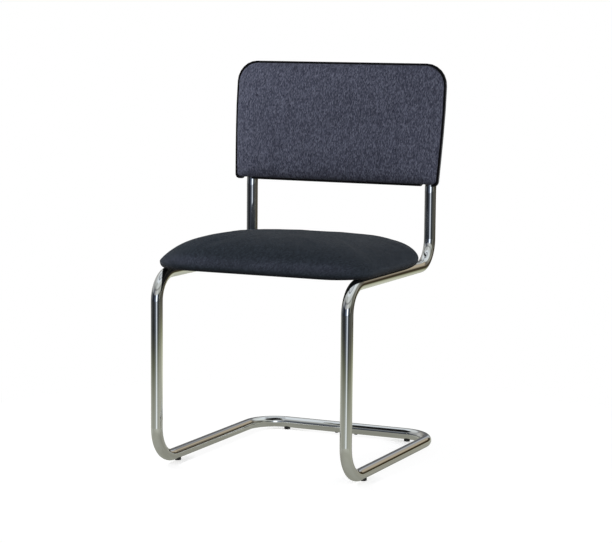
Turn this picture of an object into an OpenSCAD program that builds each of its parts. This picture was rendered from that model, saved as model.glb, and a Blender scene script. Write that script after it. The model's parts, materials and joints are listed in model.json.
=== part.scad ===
// Cantilever visitor chair: a bent chromed tube frame, a crowned fabric seat
// and a fabric back pad set in a moulded rear shell. Millimetres, +Z up.
// The sitter looks towards -Y. The origin is on the floor, under the middle
// of the frame.

/* [Frame] */
// Outside diameter of the frame tube
tube_d = 25; // [22:0.5:26]
// Wall thickness of the frame tube
tube_wall = 2; // [1.5:0.1:2.5]
// Width of the frame over the outsides of its tubes
frame_w = 460; // [440:5:470]
// Depth of the frame on the floor over the outsides of its tubes
frame_depth = 525; // [515:5:560]
// Height of the centre line of the seat rails above the floor
rail_z = 413; // [395:1:430]
// Distance from the front legs to the rear posts, centre to centre
rail_run = 447; // [440:1:455]
// Bend radius at the seat and at the top of the back, on the centre line
seat_bend_r = 57; // [50:1:60]
// Bend radius at the floor, on the centre line
floor_bend_r = 70; // [60:1:80]
// Height at which the posts bend back
lean_z = 578; // [570:1:590]
// Lean of the back from the vertical, degrees
back_lean = 6.1; // [5:0.1:8]
// Length of the leaning part of the posts, up to the centre of the top bar
upper_post = 250; // [235:1:255]

/* [Floor glides] */
// Height of the glides below the tube
glide_h = 4.5; // [3:0.5:6]
// Diameter of the glides
glide_d = 14; // [12:0.5:16]
// Distance of the front glides behind the front legs
glide_front = 93; // [85:1:110]
// Distance of the rear glides from the middle of the crossbar
glide_rear = 150; // [110:5:155]

/* [Seat] */
// Width of the seat pad at its widest
seat_w = 484; // [470:1:490]
// Overhang of the seat pad in front of the centre line of the legs
seat_overhang = 3; // [0:1:12]
// Length of the seat pad from front to rear
seat_len = 445; // [435:1:447]
// Plan radius of the front corners of the seat pad
seat_r_front = 80; // [70:1:100]
// Plan radius of the rear corners of the seat pad
seat_r_rear = 150; // [145:1:160]
// Thickness of the seat pad at the top of its crown
seat_thick = 66; // [55:1:75]
// Fall of the crown from the front to the rear of the pad
seat_fall = 20; // [0:1:24]
// Thickness of the seat board
seat_board_t = 12; // [10:1:15]

/* [Back] */
// Width of the back pad over its shell
back_w = 505; // [498:1:508]
// Height of the back pad along its lean
back_h = 267; // [262:1:272]
// Height of the pad's bottom above the corner at which the posts bend back
back_low = 5; // [3:0.5:10]
// Depth of the rear shell
shell_depth = 19.5; // [18:0.5:24]
// Wall thickness of the rear shell
shell_wall = 2.5; // [2:0.1:3]
// Radius of the top corners of the back pad
back_r_top = 47; // [40:1:55]
// Radius of the bottom corners of the back pad
back_r_bottom = 10; // [8:1:16]
// Crown of the back pad in front of the shell's lip
back_crown = 22; // [15:1:28]
// Thickness of the back board
back_board_t = 10; // [8:1:10]

/* [Cover and fixings] */
// Thickness of the upholstery fabric
fabric_t = 1.5; // [1.2:0.1:1.8]
// Nominal diameter of the screws
screw_d = 6; // [5:0.5:6]
// Distance of the front seat screws behind the front legs
seat_screw_front = 115; // [100:5:150]
// Distance between the front and rear seat screws
seat_screw_pitch = 200; // [160:5:210]
// Height of the lower back screws above the bottom of the pad
back_screw_low = 55; // [45:5:70]
// Distance between the lower and upper back screws
back_screw_pitch = 140; // [100:5:145]

/* [Hidden] */

// Tube and path
tube_r = tube_d / 2;
bore_r = tube_r - tube_wall;
tube_x = frame_w / 2 - tube_r;
leg_y = -frame_depth / 2 + tube_r;
bar_y = frame_depth / 2 - tube_r;
floor_z = glide_h + tube_r;
post_y = leg_y + rail_run;
FACETS = 48;

// The bend at the foot of the back is wider than the tube by a hair, and
// the straight lengths start in it, a whole number of millimetres away
// from the corner
lean_bend_r = 150;
lean_swell = 0.05;
lean_lap = 0.5;
lean_straight = floor(lean_bend_r * tan(back_lean / 2) - lean_lap);

// Centre line of the right half of the frame in two lengths: from the
// middle of the crossbar on the floor up to the lean, and, in the leaning
// frame of the back, from the lean to the middle of the hidden top bar
LOWER_PATH = [
    [0, bar_y, floor_z],
    [tube_x, bar_y, floor_z],
    [tube_x, leg_y, floor_z],
    [tube_x, leg_y, rail_z],
    [tube_x, post_y, rail_z],
    [tube_x, post_y, lean_z - lean_straight]
];
LOWER_RADII = [0, floor_bend_r, floor_bend_r, seat_bend_r, seat_bend_r, 0];
UPPER_PATH = [[tube_x, 0, lean_straight], [tube_x, 0, upper_post], [0, 0, upper_post]];
UPPER_RADII = [0, seat_bend_r, 0];

// Joints of the two halves
sleeve_len = 80;
sleeve_wall = 1.5;
rivet_x = 24;
rivet_d = 5;
rivet_head_d = 9;
rivet_head_h = 1.2;
rivet_taper = 2;
rivet_tail = 1;
rivet_len = tube_wall + sleeve_wall + rivet_tail;

// Glides
glide_stem_d = 8;
glide_stem_len = 6;
glide_round = 1.5;

// Play of a board in its foam or shell
board_gap = 0.5;

// Seat levels and plan
seat_z = rail_z + tube_r;
seat_a = seat_w / 2;
seat_y0 = leg_y - seat_overhang;
seat_y1 = seat_y0 + seat_len;
seat_mid = [0, (seat_y0 + seat_y1) / 2];
seat_half = [seat_a, seat_len / 2];
seat_side_z = 11.5;
seat_board_inset = 8;
seat_flange_inset = 15;
dust_t = 1;
dust_gap = 2;
seat_screws_y = [leg_y + seat_screw_front, leg_y + seat_screw_front + seat_screw_pitch];

// Back levels and plan, in the leaning frame of the posts: x across, z up
// along the posts, and -y towards the sitter
back_a = back_w / 2;
back_mid = [0, back_h / 2];
back_half = [back_a, back_h / 2];
back_drawn_in = 7;
back_draw_power = 1.3;
back_widest = 0.62 * back_h;
rear_face = -tube_r;
lip_extra = 1.7;
lip_wall = shell_wall + lip_extra;
pad_gap = 0.3;
pad_inset = lip_wall + pad_gap;
pad_tuck = 3;
back_board_inset = pad_inset + pad_tuck + fabric_t + board_gap;
back_flange_inset = 18;
board_sink = 1;
back_board_d1 = shell_depth - board_sink;
back_board_d0 = back_board_d1 - back_board_t;
back_rise = back_crown + board_sink;
notch_w = tube_d;
back_screws_z = [back_screw_low, back_screw_low + back_screw_pitch];
boss_d = 18;

// Fixings, with the proportions of button-head screws
hole_gap = 0.6;
hole_d = screw_d + hole_gap;
head_d = 1.75 * screw_d;
head_h = 0.55 * screw_d;
socket_af = 0.65 * screw_d;
socket_depth = 0.6 * head_h;
dome_sink = 0.6 * head_h;
washer_d = 17;
washer_t = 2;
washer_reach = 4;
tee_flange_d = 19;
tee_flange_t = 1.5;
tee_barrel_d = screw_d + 2;
tee_short = 1;
tip_gap = 1;
access_d = head_d + 2;
inner_washer_gap = 0.5;
inner_washer_d = access_d - inner_washer_gap;
head_drop = 4.5;
seat_head_z = rail_z + bore_r - head_drop;
plug_h = 6;
plug_floor = 3;
plug_wall = 1.4;

// Colours
chrome_c = [0.78, 0.79, 0.78];
steel_c = [0.55, 0.56, 0.58];
black_c = [0.06, 0.06, 0.07];
seat_c = [0.19, 0.21, 0.23];
back_c = [0.28, 0.29, 0.34];
foam_c = [0.93, 0.88, 0.66];
wood_c = [0.78, 0.62, 0.42];

// Vectors and bends of a path
function unit(v) = v / norm(v);
function turn(a, b, c) = acos(unit(b - a) * unit(c - b));
function tangent(path, radii, i) =
    i == 0 || i == len(path) - 1 ? 0
    : radii[i] * tan(turn(path[i - 1], path[i], path[i + 1]) / 2);

// Straight round bar from point a to point b
module bar(a, b, r) {
    d = b - a;
    translate(a)
        rotate([0, acos(d[2] / norm(d)), atan2(d[1], d[0])])
            cylinder(r = r, h = norm(d), $fn = FACETS);
}

// Quarter or part torus that rounds the corner a, b, c with its ends square
// to both legs
module bend(a, b, c, bend_r, r) {
    u = unit(b - a);
    w = unit(c - b);
    angle = turn(a, b, c);
    in_dir = unit(w - (w * u) * u);
    start = b - u * bend_r * tan(angle / 2);
    centre = start + in_dir * bend_r;
    normal = cross(in_dir, u);
    multmatrix([
        [-in_dir[0], u[0], -normal[0], centre[0]],
        [-in_dir[1], u[1], -normal[1], centre[1]],
        [-in_dir[2], u[2], -normal[2], centre[2]],
        [0, 0, 0, 1]
    ])
        rotate_extrude(angle = angle, $fn = 2 * FACETS)
            translate([bend_r, 0])
                circle(r = r, $fn = FACETS);
}

// Round bar along a path with rounded corners
module round_path(path, radii, r) {
    for (i = [0 : len(path) - 2]) {
        dir = unit(path[i + 1] - path[i]);
        bar(path[i] + dir * tangent(path, radii, i),
            path[i + 1] - dir * tangent(path, radii, i + 1), r);
    }
    for (i = [1 : len(path) - 2])
        bend(path[i - 1], path[i], path[i + 1], radii[i], r);
}

// Both sides, and both screw places of a side
module both_sides() {
    children();
    mirror([1, 0, 0]) children();
}
module at_seat_screws() {
    for (y = seat_screws_y) translate([tube_x, y, 0]) children();
}
module in_back() {
    translate([0, post_y, lean_z]) rotate([-back_lean, 0, 0]) children();
}
module at_back_screws() {
    in_back() for (z = back_screws_z)
        translate([tube_x, 0, back_low + z]) rotate([90, 0, 0]) children();
}

// Round bar of radius r along one half of the frame
module half_bar(r) {
    round_path(LOWER_PATH, LOWER_RADII, r);
    in_back() round_path(UPPER_PATH, UPPER_RADII, r);
    bend([tube_x, post_y, rail_z], [tube_x, post_y, lean_z],
         [tube_x, post_y + sin(back_lean), lean_z + cos(back_lean)],
         lean_bend_r, r + lean_swell);
}

// One half of the frame with all its holes
module half_frame() {
    color(chrome_c) difference() {
        half_bar(tube_r);
        half_bar(bore_r);
        at_seat_screws() {
            translate([0, 0, rail_z]) cylinder(d = hole_d, h = tube_d, $fn = FACETS);
            translate([0, 0, rail_z - tube_d]) cylinder(d = access_d, h = tube_d, $fn = FACETS);
        }
        at_back_screws()
            translate([0, 0, -tube_d]) cylinder(d = hole_d, h = 2 * tube_d, $fn = FACETS);
        translate([tube_x, leg_y + glide_front, 0])
            cylinder(d = glide_stem_d, h = floor_z, $fn = FACETS);
        translate([glide_rear, bar_y, 0])
            cylinder(d = glide_stem_d, h = floor_z, $fn = FACETS);
        translate([rivet_x, bar_y, 0])
            cylinder(d = rivet_d, h = floor_z, $fn = FACETS);
        in_back() translate([rivet_x, 0, upper_post - tube_d])
            cylinder(d = rivet_d, h = tube_d, $fn = FACETS);
    }
}
module frame_tube_right() { half_frame(); }
module frame_tube_left() { mirror([1, 0, 0]) half_frame(); }

// Sleeve inside the tube ends, with the holes of its two rivets
module joint_sleeve(y, z) {
    color(steel_c) difference() {
        bar([-sleeve_len / 2, y, z], [sleeve_len / 2, y, z], bore_r);
        bar([-sleeve_len, y, z], [sleeve_len, y, z], bore_r - sleeve_wall);
        for (x = [-rivet_x, rivet_x])
            translate([x, y, z - tube_d]) cylinder(d = rivet_d, h = tube_d, $fn = FACETS);
    }
}

// Rivets from below: a low head that hugs the tube, and a shank
module joint_rivets(y, z) {
    color(black_c) for (x = [-rivet_x, rivet_x]) {
        translate([x, y, z - tube_r]) cylinder(d = rivet_d, h = rivet_len, $fn = FACETS);
        difference() {
            translate([x, y, z - tube_r - rivet_head_h])
                cylinder(d1 = rivet_head_d - rivet_taper, d2 = rivet_head_d, h = 2 * rivet_head_h,
                         $fn = FACETS);
            bar([x - rivet_head_d, y, z], [x + rivet_head_d, y, z], tube_r);
        }
    }
}
module lower_joint_sleeve() { joint_sleeve(bar_y, floor_z); }
module upper_joint_sleeve() { in_back() joint_sleeve(0, upper_post); }
module lower_joint_rivets() { joint_rivets(bar_y, floor_z); }
module upper_joint_rivets() { in_back() joint_rivets(0, upper_post); }

// Floor glide with a rounded foot and a stem in the tube. Its upper face
// follows the tube, which runs along the angle given.
module glide(along) {
    color(black_c) {
        difference() {
            rotate_extrude($fn = FACETS) {
                square([glide_d / 2 - glide_round, glide_h + tube_r / 3]);
                translate([0, glide_round])
                    square([glide_d / 2, glide_h + tube_r / 3 - glide_round]);
                translate([glide_d / 2 - glide_round, glide_round])
                    circle(r = glide_round, $fn = FACETS);
            }
            rotate([0, 0, along])
                bar([-glide_d, 0, floor_z], [glide_d, 0, floor_z], tube_r);
        }
        translate([0, 0, glide_h / 2])
            cylinder(d = glide_stem_d, h = glide_h / 2 + glide_stem_len, $fn = FACETS);
    }
}
module front_glides() {
    both_sides() translate([tube_x, leg_y + glide_front, 0]) glide(90);
}
module rear_glides() {
    both_sides() translate([glide_rear, bar_y, 0]) glide(0);
}

// Rounded plan of a pad as a ring of points: half width a, from y0 to y1,
// corner radii r0 at y0 and r1 at y1
CORNER_STEPS = 6;
SIDE_STEPS = 3;
function corner(x, y, r, from) =
    [for (i = [0 : CORNER_STEPS]) let (t = from + 90 * i / CORNER_STEPS)
        [x + r * cos(t), y + r * sin(t)]];
function edge(p, q) =
    [for (i = [1 : SIDE_STEPS]) p + (q - p) * i / (SIDE_STEPS + 1)];
function plan(a, y0, y1, r0, r1) =
    let (
        c0 = corner(a - r0, y0 + r0, r0, -90),
        c1 = corner(a - r1, y1 - r1, r1, 0),
        c2 = corner(-a + r1, y1 - r1, r1, 90),
        c3 = corner(-a + r0, y0 + r0, r0, 180)
    )
    concat(c0, edge([a, y0 + r0], [a, y1 - r1]),
           c1, edge([a - r1, y1], [-a + r1, y1]),
           c2, edge([-a, y1 - r1], [-a, y0 + r0]),
           c3, edge([-a + r0, y0], [a - r0, y0]));

// The same plan drawn in by an inset on every side, and then shrunk by s
// towards its middle. The more it shrinks, the more it turns into an ellipse,
// so that a crown over such rings has no ridges towards its corners.
function drawn(ring, mid, half, inset, s = 1) =
    [for (p = ring)
        let (
            q = p - mid,
            t = atan2(q[1] / half[1], q[0] / half[0]),
            oval = [half[0] * cos(t), half[1] * sin(t)],
            round_q = q * s + oval * (1 - s)
        )
        [for (k = [0, 1]) mid[k] + round_q[k] * s * (half[k] - inset) / half[k]]];

// Closed skin from pole to pole over a list of rings of equal length
module loft(first, rings, last) {
    n = len(rings[0]);
    m = len(rings);
    points = concat([first], [for (r = rings) each r], [last]);
    faces = concat(
        [for (i = [0 : n - 1]) [0, 1 + i, 1 + (i + 1) % n]],
        [for (k = [0 : m - 2], i = [0 : n - 1]) let (a = 1 + k * n + i, b = 1 + k * n + (i + 1) % n)
            each [[a, a + n, b], [b, a + n, b + n]]],
        [for (i = [0 : n - 1]) let (a = 1 + (m - 1) * n)
            [a + (i + 1) % n, a + i, m * n + 1]]
    );
    polyhedron(points, faces, convexity = 4);
}

// Plate with true round corners, for the boards
module plate(a, y0, y1, r0, r1) {
    polygon([
        [a - r0, y0], [a, y0 + r0], [a, y1 - r1], [a - r1, y1],
        [-a + r1, y1], [-a, y1 - r1], [-a, y0 + r0], [-a + r0, y0]
    ]);
    for (side = [-1, 1]) {
        translate([side * (a - r0), y0 + r0]) circle(r = r0, $fn = 2 * FACETS);
        translate([side * (a - r1), y1 - r1]) circle(r = r1, $fn = 2 * FACETS);
    }
}

// Height of a crown at the ring scale s: full at s = 0 and none at s = 1
function crown(s, flatness, fullness) = pow(1 - pow(s, flatness), 1 / fullness);

// Seat pad. The profile rises from the drawn-in lower edge to the widest
// ring and closes over the crown, which falls towards the rear and is
// fuller there.
SEAT_STEPS = [0, 5, 10, 17, 25, 34, 44, 55, 67, 79];
seat_flatness = 4.7;
seat_fullness_front = 1.1;
seat_fullness_rear = 1.85;
seat_low_z = 3;
seat_low_inset = 1.5;
seat_edge_inset = 3.5;
seat_fold_inset = 6;
function seat_fullness(y) = seat_fullness_front
    + (seat_fullness_rear - seat_fullness_front) * (y - seat_y0) / seat_len;
SEAT_PLAN = plan(seat_a, seat_y0, seat_y1, seat_r_front, seat_r_rear);
function seat_ring(inset, z, s = 1) =
    [for (p = drawn(SEAT_PLAN, seat_mid, seat_half, inset, s)) [p[0], p[1], seat_z + z]];
function seat_crown_ring(inset, top, s) =
    [for (p = drawn(SEAT_PLAN, seat_mid, seat_half, inset, s))
        [p[0], p[1], seat_z + seat_side_z + top * crown(s, seat_flatness, seat_fullness(p[1]))
            - seat_fall * (1 - pow(s, seat_flatness)) * (p[1] - seat_mid[1]) / seat_len]];
function seat_apex(top) = [0, seat_mid[1], seat_z + seat_side_z + top];
function seat_crown(inset, top) =
    [for (t = SEAT_STEPS) seat_crown_ring(inset, top, cos(t))];
function reversed(list) = [for (i = [len(list) - 1 : -1 : 0]) list[i]];
seat_top = seat_thick - seat_side_z;

module seat_cover() {
    outer = seat_crown(0, seat_top);
    inner = seat_crown(fabric_t, seat_top - fabric_t);
    color(seat_c) loft(
        seat_apex(seat_top),
        concat(
            reversed(outer),
            [seat_ring(seat_low_inset, seat_low_z), seat_ring(seat_edge_inset, 0),
             seat_ring(seat_fold_inset, -fabric_t), seat_ring(seat_flange_inset, -fabric_t),
             seat_ring(seat_flange_inset, 0), seat_ring(seat_edge_inset + 2 * fabric_t, 0),
             seat_ring(seat_low_inset + fabric_t, seat_low_z)],
            inner
        ),
        seat_apex(seat_top - fabric_t)
    );
}
module seat_foam() {
    color(foam_c) loft(
        [0, seat_mid[1], seat_z + seat_board_t],
        concat(
            [seat_ring(seat_board_inset, seat_board_t), seat_ring(seat_board_inset, 0),
             seat_ring(seat_edge_inset + 2 * fabric_t, 0),
             seat_ring(seat_low_inset + fabric_t, seat_low_z)],
            seat_crown(fabric_t, seat_top - fabric_t)
        ),
        seat_apex(seat_top - fabric_t)
    );
}
module seat_board() {
    inset = seat_board_inset + board_gap;
    color(wood_c) difference() {
        translate([0, 0, seat_z]) linear_extrude(seat_board_t)
            plate(seat_a - inset, seat_y0 + inset, seat_y1 - inset, seat_r_front, seat_r_rear);
        both_sides() at_seat_screws() {
            translate([0, 0, seat_z - 1])
                cylinder(d = tee_barrel_d, h = seat_board_t + 2, $fn = FACETS);
            translate([0, 0, seat_z + seat_board_t - tee_flange_t])
                cylinder(d = tee_flange_d, h = 2 * tee_flange_t, $fn = FACETS);
        }
    }
}
module seat_dust_cover() {
    end = seat_flange_inset + dust_gap;
    color(black_c) translate([0, 0, seat_z - dust_t]) linear_extrude(dust_t)
        plate(tube_x - tube_r - dust_gap, seat_y0 + end, seat_y1 - end,
              seat_r_front - end, seat_r_rear - 2 * end);
}

// Tee nut with its flange up, flush with the top of a board t thick
module tee_nut(t) {
    color(steel_c) difference() {
        union() {
            translate([0, 0, t - tee_flange_t])
                cylinder(d = tee_flange_d, h = tee_flange_t, $fn = FACETS);
            translate([0, 0, tee_short])
                cylinder(d = tee_barrel_d, h = t - tee_short, $fn = FACETS);
        }
        cylinder(d = screw_d, h = 3 * t, center = true, $fn = FACETS);
    }
}

// Button-head screw that points up, with its head under the plane z = 0
module button_screw(len) {
    color(chrome_c) difference() {
        union() {
            cylinder(d = screw_d, h = len, $fn = FACETS);
            rotate_extrude($fn = FACETS) intersection() {
                translate([0, dome_sink])
                    circle(r = dome_sink + head_h, $fn = FACETS);
                translate([0, -head_h]) square([head_d / 2, head_h]);
            }
        }
        translate([0, 0, -2 * head_h])
            cylinder(d = socket_af / cos(30), h = head_h + socket_depth, $fn = 6);
    }
}

// Washer under a head at z = 0 that cups a tube lying along x above it
module saddle_washer() {
    color(black_c) difference() {
        cylinder(d = washer_d, h = washer_t + washer_reach, $fn = FACETS);
        bar([-washer_d, 0, washer_t + tube_r], [washer_d, 0, washer_t + tube_r], tube_r);
        cylinder(d = hole_d, h = 4 * washer_t, center = true, $fn = FACETS);
    }
}
module seat_tee_nuts() {
    both_sides() at_seat_screws() translate([0, 0, seat_z]) tee_nut(seat_board_t);
}
module seat_screws() {
    both_sides() at_seat_screws() translate([0, 0, seat_head_z])
        button_screw(head_drop + tube_wall + seat_board_t);
}

// Washers in the bore of the rails, flat below and round above like the bore
module seat_saddle_washers() {
    color(black_c) both_sides() at_seat_screws() difference() {
        intersection() {
            translate([0, 0, seat_head_z])
                cylinder(d = inner_washer_d, h = head_drop, $fn = FACETS);
            bar([0, -inner_washer_d, rail_z], [0, inner_washer_d, rail_z], bore_r);
        }
        translate([0, 0, rail_z]) cylinder(d = hole_d, h = tube_d, $fn = FACETS);
    }
}

// Plugs that close the access holes below the seat screws, flush with the
// rails and hollow from above
module rail_hole_plugs() {
    color(steel_c) both_sides() at_seat_screws() difference() {
        intersection() {
            translate([0, 0, rail_z - tube_r]) cylinder(d = access_d, h = plug_h, $fn = FACETS);
            bar([0, -access_d, rail_z], [0, access_d, rail_z], tube_r);
        }
        translate([0, 0, rail_z - tube_r + plug_floor])
            cylinder(d = access_d - 2 * plug_wall, h = plug_h, $fn = FACETS);
    }
}

// Back pad, drawn in a plan that stands up: x across and the second
// coordinate up the lean. The lower sides draw in towards the bottom.
BACK_STEPS = [0, 6, 12, 20, 30, 42, 55, 70];
back_flatness = 5;
back_fullness = 2;
BACK_PLAN = [for (p = plan(back_a, 0, back_h, back_r_bottom, back_r_top))
    let (low = max(0, 1 - p[1] / back_widest))
    [p[0] * (1 - back_drawn_in * pow(low, back_draw_power) / back_a), p[1]]];
function back_ring(inset, depth, s = 1) =
    [for (p = drawn(BACK_PLAN, back_mid, back_half, inset, s))
        [p[0], rear_face - depth, back_low + p[1]]];
function back_apex(depth) = [0, rear_face - depth, back_low + back_mid[1]];
function back_crown_rings(inset, rise) =
    [for (t = BACK_STEPS)
        back_ring(inset, back_board_d1 + rise * crown(cos(t), back_flatness, back_fullness), cos(t))];

module back_cover() {
    outer = back_crown_rings(pad_inset, back_rise);
    inner = back_crown_rings(pad_inset + fabric_t, back_rise - fabric_t);
    color(back_c) in_back() loft(
        back_apex(back_board_d1 + back_rise),
        concat(
            reversed(outer),
            [back_ring(pad_inset + pad_tuck, back_board_d0 - fabric_t),
             back_ring(back_flange_inset, back_board_d0 - fabric_t),
             back_ring(back_flange_inset, back_board_d0),
             back_ring(pad_inset + pad_tuck + fabric_t, back_board_d0)],
            inner
        ),
        back_apex(back_board_d1 + back_rise - fabric_t)
    );
}
module back_foam() {
    color(foam_c) in_back() loft(
        back_apex(back_board_d1),
        back_crown_rings(pad_inset + fabric_t, back_rise - fabric_t),
        back_apex(back_board_d1 + back_rise - fabric_t)
    );
}
module back_board() {
    inset = back_board_inset;
    color(wood_c) difference() {
        in_back() translate([0, rear_face - back_board_d0, back_low]) rotate([90, 0, 0])
            linear_extrude(back_board_t)
                plate(back_a - back_drawn_in - inset, inset, back_h - inset,
                      back_r_bottom, back_r_top);
        both_sides() at_back_screws() {
            translate([0, 0, tube_r + back_board_d0 - 1])
                cylinder(d = tee_barrel_d, h = back_board_t + 2, $fn = FACETS);
            translate([0, 0, tube_r + back_board_d1 - tee_flange_t])
                cylinder(d = tee_flange_d, h = 2 * tee_flange_t, $fn = FACETS);
        }
    }
}

// Moulded rear shell: a tray whose flat back lies on the posts, whose sides
// are quarter ellipses and whose lip goes round the pad, with a boss round
// each screw and a notch in the lip below the pad at each post
SHELL_STEPS = [0, 18, 36, 54, 72, 90];
shell_round = 10;
shell_lip_h = 2;
shell_side_d = shell_depth - shell_lip_h;
lip_round = 0.5;
function shell_side(inset, depth) =
    [for (t = SHELL_STEPS)
        back_ring(inset + shell_round * (1 - sin(t)), depth + (shell_side_d - depth) * (1 - cos(t)))];
function shell_lip() = [
    back_ring(0, shell_depth - lip_round),
    back_ring(lip_round, shell_depth),
    back_ring(lip_wall - lip_round, shell_depth),
    back_ring(lip_wall, shell_depth - lip_round)
];
module back_shell() {
    color(black_c) difference() {
        union() {
            in_back() loft(
                back_apex(0),
                concat(shell_side(0, 0), shell_lip(), reversed(shell_side(lip_wall, shell_wall))),
                back_apex(shell_wall)
            );
            both_sides() at_back_screws() translate([0, 0, tube_r + shell_wall / 2])
                cylinder(d = boss_d, h = back_board_d0 - shell_wall / 2, $fn = FACETS);
        }
        both_sides() at_back_screws()
            cylinder(d = hole_d, h = tube_r + shell_depth, $fn = FACETS);
        both_sides() in_back()
            translate([tube_x - notch_w / 2, rear_face - 2 * shell_depth, back_low - pad_inset])
                cube([notch_w, 2 * shell_depth, 2 * pad_inset]);
    }
}
module back_tee_nuts() {
    both_sides() at_back_screws() translate([0, 0, tube_r + back_board_d0])
        tee_nut(back_board_t);
}
module back_screws() {
    both_sides() at_back_screws() translate([0, 0, -tube_r - washer_t])
        button_screw(washer_t + tube_d + back_board_d1 - tip_gap);
}
module back_saddle_washers() {
    both_sides() at_back_screws() translate([0, 0, -tube_r - washer_t]) rotate([0, 0, 90])
        saddle_washer();
}

frame_tube_left();
frame_tube_right();
lower_joint_sleeve();
lower_joint_rivets();
upper_joint_sleeve();
upper_joint_rivets();
front_glides();
rear_glides();
seat_board();
seat_foam();
seat_cover();
seat_dust_cover();
seat_tee_nuts();
seat_screws();
seat_saddle_washers();
rail_hole_plugs();
back_shell();
back_board();
back_foam();
back_cover();
back_tee_nuts();
back_screws();
back_saddle_washers();
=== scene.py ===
import json
import math

import bmesh
import bpy
from mathutils import Matrix, Vector
from mathutils.kdtree import KDTree


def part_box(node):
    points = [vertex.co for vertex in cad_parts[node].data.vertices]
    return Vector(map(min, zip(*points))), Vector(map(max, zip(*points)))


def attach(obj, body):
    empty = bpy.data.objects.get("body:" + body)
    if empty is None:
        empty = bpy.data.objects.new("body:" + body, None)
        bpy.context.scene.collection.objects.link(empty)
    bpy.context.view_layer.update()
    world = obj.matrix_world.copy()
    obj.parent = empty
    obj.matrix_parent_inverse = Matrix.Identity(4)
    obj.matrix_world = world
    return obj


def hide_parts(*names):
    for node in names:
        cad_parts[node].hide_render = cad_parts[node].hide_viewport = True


# Cantilever visitor chair: the looks. Metres, +Z up, the sitter looks
# towards -Y, +X is on the right in a view from the front.

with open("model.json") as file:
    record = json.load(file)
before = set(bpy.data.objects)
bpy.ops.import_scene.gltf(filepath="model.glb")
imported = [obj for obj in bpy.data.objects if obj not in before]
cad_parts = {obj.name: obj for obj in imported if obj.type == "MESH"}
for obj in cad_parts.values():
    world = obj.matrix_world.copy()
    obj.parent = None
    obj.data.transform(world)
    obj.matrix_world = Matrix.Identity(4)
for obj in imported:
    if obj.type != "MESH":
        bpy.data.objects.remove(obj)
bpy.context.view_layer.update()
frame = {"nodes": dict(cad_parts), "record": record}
NODES = frame["nodes"]

# Camera, fitted to the tube edges in the photograph
CAMERA_AZIMUTH = 24.81
CAMERA_ELEVATION = 7.04
CAMERA_ROLL = 0.51
CAMERA_DISTANCE = 4.217
CAMERA_TARGET = Vector((0.0410, -0.0668, 0.4146))
CAMERA_LENS = 117.17
SENSOR_WIDTH = 36.0

# Floor: over CONTACT_REACH from a glide the chair's shadow gets faint, and over
# SHADOW_REACH from the chair's middle it ends
FLOOR_HALF = 12.0
FLOOR_PAINT = 0.80
FLOOR_GLOW = 0.53
FLOOR_BOUNCE = 0.8
SHADOW_REACH = (0.45, 0.95)
CONTACT_REACH = (0.025, 0.060)
FAINT_SHADOW = 0.25
POOL_REACH = 4.0
POOL_GLOW = 2.0
POOL_DEPTH = 2.0
FLOOR_ROUGHNESS = 0.09

# Dark screen behind the chair
SCREEN_X = (0.35, 2.2)
SCREEN_Y = 1.9
SCREEN_HEIGHT = 0.52

# Soft light from all round, and lamps: name, place, the point that they face,
# width and height, watts
SOFT_LIGHT = 0.30
LAMPS = (
    ("key", (-1.0, -0.55, 1.35), (0.0, 0.0, 0.6), (0.7, 0.6), 14),
    ("window", (0.9, -3.0, 0.7), (0.0, 0.0, 0.5), (1.0, 0.8), 18),
    ("side", (2.2, 0.25, 0.95), (0.2, 0.1, 0.7), (0.6, 0.8), 22),
    ("top", (0.2, 0.6, 3.0), (0.0, 0.0, 0.4), (2.0, 2.0), 8),
    ("rear", (-1.2, 2.7, 1.2), (0.0, 0.0, 0.1), (1.0, 0.6), 8),
)

# Seat pad: its plan comes from the CAD's box, its form from these values.
# Heights are above the rails. SEAT_EDGE has the inset and height of each ring
# between the board's underside and the rim.
SEAT_LOW, SEAT_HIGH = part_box("seat_cover")
RAIL_TOP = 0.4255
FOLD = 0.0015
SEAT_RADII = (0.080, 0.150)
SEAT_RIM = 0.0115
SEAT_CROWN = 0.0545
SEAT_FALL = 0.020
SEAT_FLATNESS = 4.7
SEAT_FULLNESS = (1.1, 1.85)
SEAT_BOARD = 0.012
SEAT_BOARD_INSET = 0.008
SEAT_FLANGE = 0.015
SEAT_EDGE = ((SEAT_FLANGE, -FOLD), (0.0075, -FOLD), (0.0045, -0.0008),
             (0.0030, 0.0008), (0.0015, 0.003), (0.0004, 0.007))
SEAT_RINGS = 26
UNDERSIDE_BLACK_DEPTH = 0.0005

# Back pad, in the leaning frame of the posts: x across, z up the posts and
# -y towards the sitter
BACK_LEAN = math.radians(6.1)
BACK_FACING = Vector((0.0, -math.cos(BACK_LEAN), math.sin(BACK_LEAN)))
POST_FOOT = Vector((0.0, 0.197, 0.578))
BACK_HALF = 0.2525
BACK_LOW = 0.005
BACK_HEIGHT = 0.267
BACK_RADII = (0.010, 0.047)
BACK_DRAWN_IN = 0.007
BACK_WIDEST = 0.62
BACK_TAPER = 1.3
BACK_REAR = -0.0195
BACK_BOARD = (-0.0210, -0.0310)
BACK_CROWN = 0.023
BACK_FLATNESS = 5.0
BACK_FULLNESS = 2.0
BACK_INSET = 0.0045
BACK_EDGE = (0.0008, 0.004)
BACK_TUCK = 0.003
BACK_FLANGE = 0.018
BACK_RINGS = 24
LIP_FRONT = -0.0320
SHELL_DEPTH = 0.020

# Rings of both pads: LAST_RING is the highest one's place on the crown in
# degrees, and BOARD_RING the inset of the one on the board
CORNER_STEPS = 18
SIDE_STEPS = 34
LAST_RING = 87.0
BOARD_RING = 0.030

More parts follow.
